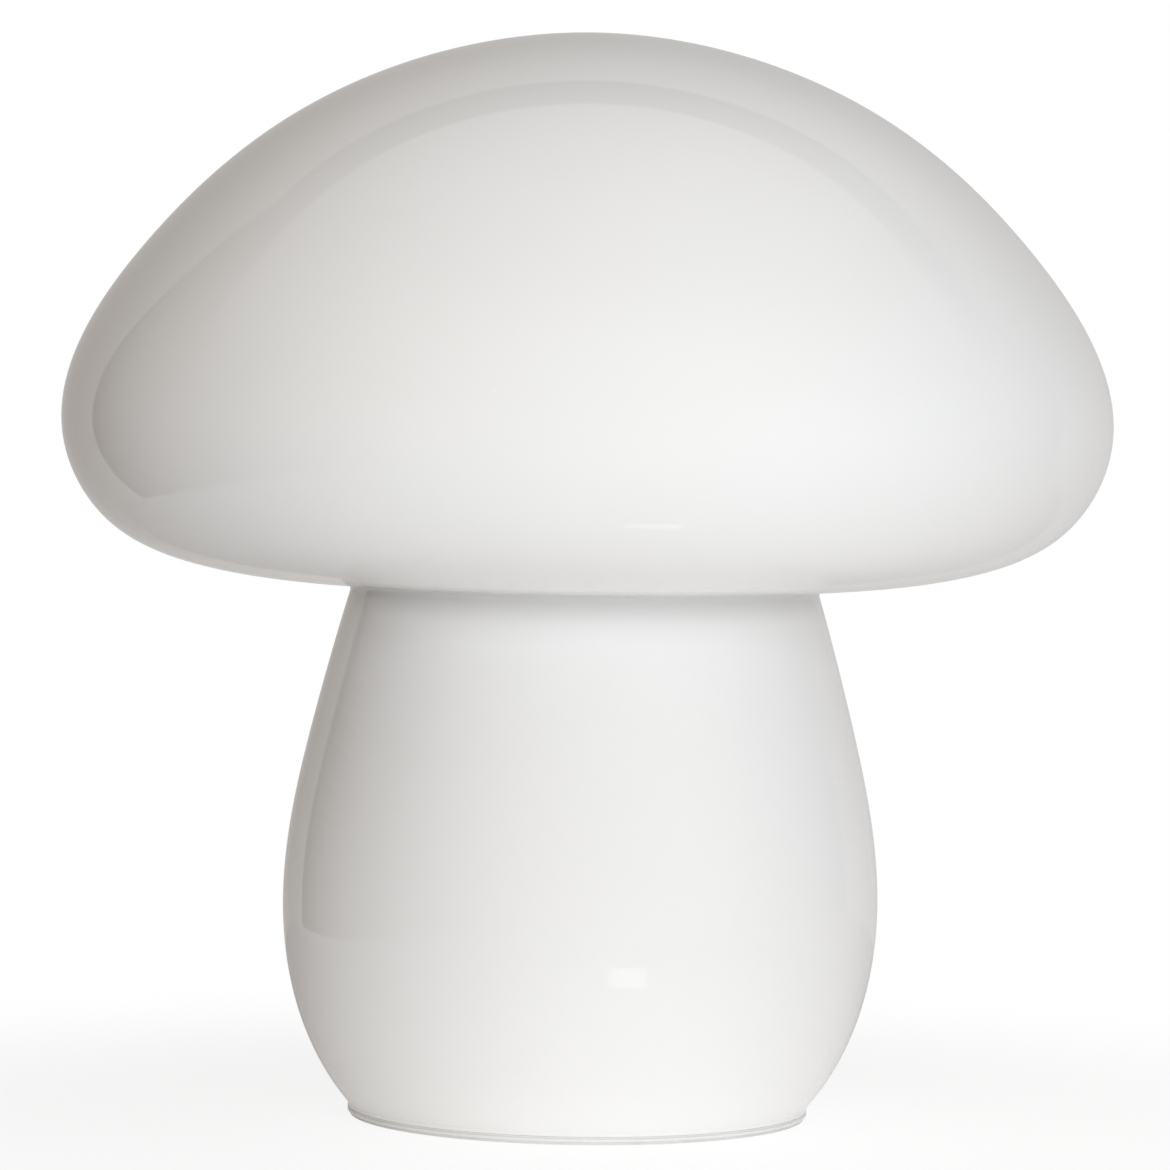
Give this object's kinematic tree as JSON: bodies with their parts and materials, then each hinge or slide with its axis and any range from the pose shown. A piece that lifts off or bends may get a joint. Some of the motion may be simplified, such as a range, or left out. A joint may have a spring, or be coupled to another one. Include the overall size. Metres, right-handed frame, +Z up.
{
  "type": "mushroom table lamp",
  "caption": "Mushroom-shaped table lamp: a blown opal glass cap and stem that lifts off a low round base with a screw lampholder and bulb.",
  "frame": {"origin": "on the table, under the middle of the round foot", "axes": "+Z up along the lamp's axis, -Y to the front, +Y to the back where the cord comes in, +X to the right seen from the front"},
  "size_m": [0.2904, 0.2904, 0.3],
  "materials": {
    "opal_glass": "blown opal white, fire-polished",
    "white_enamel": "white powder coat",
    "pad_rubber": "matt",
    "gasket_silicone": "milky silicone",
    "cover_plastic": "moulded, fine texture",
    "zinc_steel": "zinc plated",
    "bush_rubber": "white rubber",
    "block_nylon": "natural nylon",
    "turned_brass": "turned",
    "holder_plastic": "thermoset moulding",
    "contact_ceramic": "moulded insulator",
    "contact_bronze": "sprung bronze strip",
    "brown_sheath": "insulated wire",
    "blue_sheath": "insulated wire",
    "bulb_plastic": "white moulding",
    "globe_plastic": "frosted diffuser",
    "cap_nickel": "nickel plated",
    "black_insulator": "vitreous",
    "solder_tip": "tinned",
    "board_aluminium": "white solder mask on aluminium",
    "chip_phosphor": "phosphor gel",
    "board_green": "solder mask"
  },
  "bodies": {
    "base": {"seat_gasket": "gasket_silicone", "base_plate": "white_enamel", "foot_pad": "pad_rubber", "wiring_cover": "cover_plastic", "cover_washers": "zinc_steel", "cover_nuts": "zinc_steel", "cord_bush": "bush_rubber", "terminal_block": "block_nylon", "terminal_inserts": "turned_brass", "terminal_screws": "zinc_steel", "block_nut": "zinc_steel", "stand_tube": "zinc_steel", "tube_nuts": "turned_brass", "tube_washer": "zinc_steel", "holder_cap": "holder_plastic", "grub_screw": "zinc_steel", "holder_shell": "holder_plastic", "contact_block": "contact_ceramic", "live_terminal": "turned_brass", "neutral_terminal": "turned_brass", "holder_screws": "zinc_steel", "live_lead": "brown_sheath", "neutral_lead": "blue_sheath"},
    "glass": {"glass_body": "opal_glass"},
    "bulb_tip": {"bulb_tip_contact": "solder_tip", "bulb_insulator": "black_insulator"},
    "bulb": {"bulb_screw_cap": "cap_nickel", "bulb_housing": "bulb_plastic", "bulb_globe": "globe_plastic", "led_board": "board_aluminium", "led_chips": "chip_phosphor", "driver_board": "board_green"},
    "centre_contact": {"centre_contact": "contact_bronze"},
    "side_contact": {"side_contact": "contact_bronze"}
  },
  "joints": [
    {"name": "glass_lift", "type": "slide", "parent": "base", "child": "glass", "axis": [0, 0, 1], "range_m": [0, 0.24]},
    {"name": "bulb_advance", "type": "slide", "parent": "base", "child": "bulb_tip", "axis": [0, 0, 1], "range_m": [0, 0.0218]},
    {"name": "bulb_turn", "type": "hinge", "parent": "bulb_tip", "child": "bulb", "pos_m": [0, 0, 0.1], "axis": [0, 0, 1], "range_deg": [0, 2160]},
    {"name": "centre_contact_flex", "type": "hinge", "parent": "base", "child": "centre_contact", "pos_m": [-0.0068, 0, 0.0849], "axis": [0, 1, 0], "range_deg": [0, 6], "stiffness_Nm_per_rad": 0.26},
    {"name": "side_contact_flex", "type": "hinge", "parent": "base", "child": "side_contact", "pos_m": [0.0074, 0, 0.0853], "axis": [0, 1, 0], "range_deg": [0, 5], "stiffness_Nm_per_rad": 0.26}
  ],
  "couplings": [
    {"joint": "bulb_advance", "follows": "bulb_turn", "m_per_rad": 0.00057757}
  ]
}
